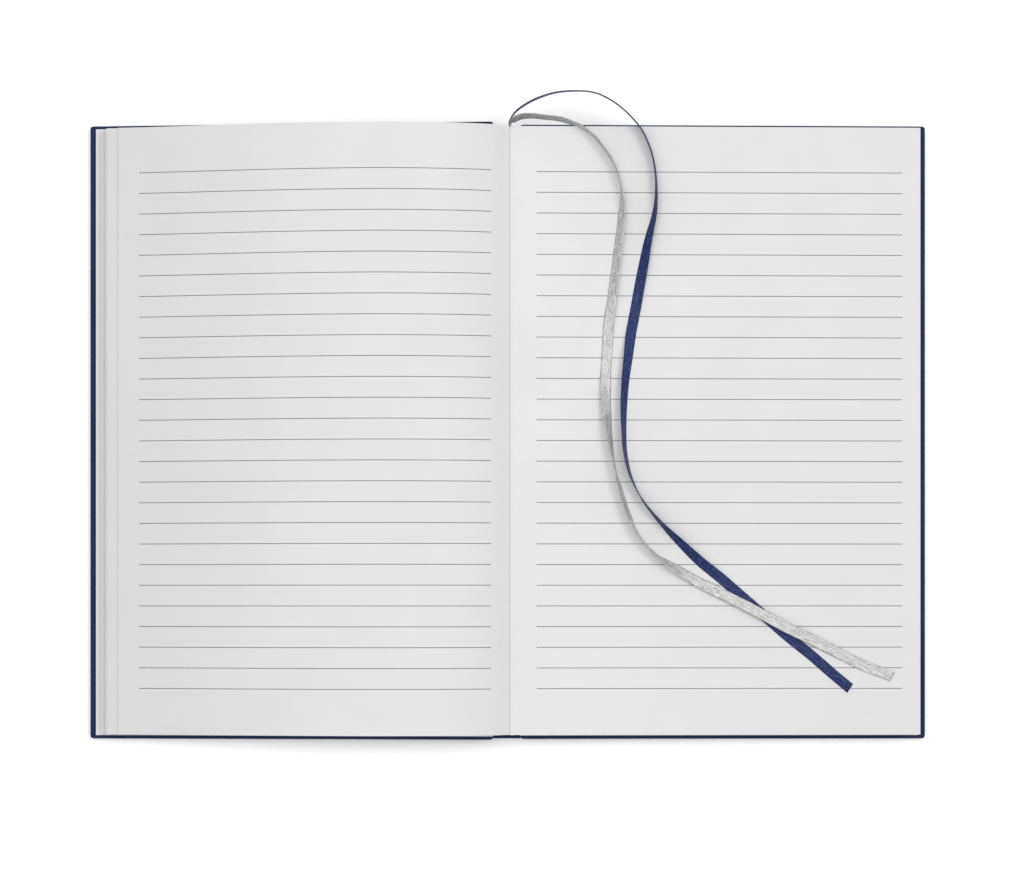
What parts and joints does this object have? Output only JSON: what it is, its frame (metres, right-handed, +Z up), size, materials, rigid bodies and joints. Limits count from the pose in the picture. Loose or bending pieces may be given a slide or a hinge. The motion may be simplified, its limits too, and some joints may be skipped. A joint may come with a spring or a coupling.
{
  "type": "pilot logbook",
  "caption": "Case-bound ruled logbook lying open, with hinged cover boards, sewn signatures, turning leaves and two bookmark ribbons.",
  "frame": {"origin": "middle of the open spread, on the desk plane it rests on", "axes": "+X across the spread to the back board's fore-edge, +Y towards the head of the page, +Z up from the desk"},
  "size_m": [0.2863, 0.22, 0.0156],
  "materials": {
    "cover_navy": "matte",
    "board_grey": "matte",
    "endpaper_white": "matte",
    "paper_white": "matte",
    "lining_linen": "matte",
    "band_cotton": "matte",
    "thread_white": "matte",
    "ribbon_navy": "satin",
    "ribbon_silver": "satin"
  },
  "bodies": {
    "spine": {"spine_strip": "board_grey", "spine_cover": "cover_navy", "front_joint_cloth": "cover_navy", "back_joint_cloth": "cover_navy"},
    "front_half": {"front_board": "board_grey", "front_cover": "cover_navy", "front_pastedown": "endpaper_white", "front_flyleaf": "endpaper_white", "signature_01": "paper_white", "signature_02": "paper_white", "signature_03": "paper_white", "signature_04": "paper_white", "signature_05": "paper_white", "signature_06_front": "paper_white", "front_lining": "lining_linen"},
    "back_half": {"back_board": "board_grey", "back_cover": "cover_navy", "back_pastedown": "endpaper_white", "back_flyleaf": "endpaper_white", "signature_06_back": "paper_white", "signature_07": "paper_white", "signature_08": "paper_white", "signature_09": "paper_white", "signature_10": "paper_white", "signature_11": "paper_white", "signature_12": "paper_white", "back_lining": "lining_linen", "head_band": "band_cotton", "tail_band": "band_cotton", "sewing_thread": "thread_white", "ribbon_blue": "ribbon_navy", "ribbon_silver": "ribbon_silver"},
    "leaf_1": {"leaf_1": "paper_white"},
    "leaf_2": {"leaf_2": "paper_white"},
    "leaf_3": {"leaf_3": "paper_white"}
  },
  "joints": [
    {"name": "front_joint", "type": "hinge", "parent": "spine", "child": "front_half", "pos_m": [-0.0053, 0, 0.00822], "axis": [0, 1, 0], "range_deg": [0, 92.6], "deforming": ["front_joint_cloth", "front_flyleaf", "front_lining", "signature_01", "signature_02", "signature_03", "signature_04", "signature_05", "signature_06_front", "leaf_1", "leaf_2", "leaf_3"]},
    {"name": "back_joint", "type": "hinge", "parent": "spine", "child": "back_half", "pos_m": [0.00329, 0, 0.00633], "axis": [0, -1, 0], "range_deg": [0, 91], "deforming": ["back_joint_cloth"]},
    {"name": "leaf_1_turn", "type": "hinge", "parent": "front_half", "child": "leaf_1", "pos_m": [0.0009, 0, 0.0101], "axis": [0, -1, 0], "range_deg": [-150, 0]},
    {"name": "leaf_2_turn", "type": "hinge", "parent": "front_half", "child": "leaf_2", "pos_m": [0.0009, 0, 0.0101], "axis": [0, -1, 0], "range_deg": [-150, 0]},
    {"name": "leaf_3_turn", "type": "hinge", "parent": "front_half", "child": "leaf_3", "pos_m": [0.0009, 0, 0.0101], "axis": [0, -1, 0], "range_deg": [-150, 0]}
  ]
}
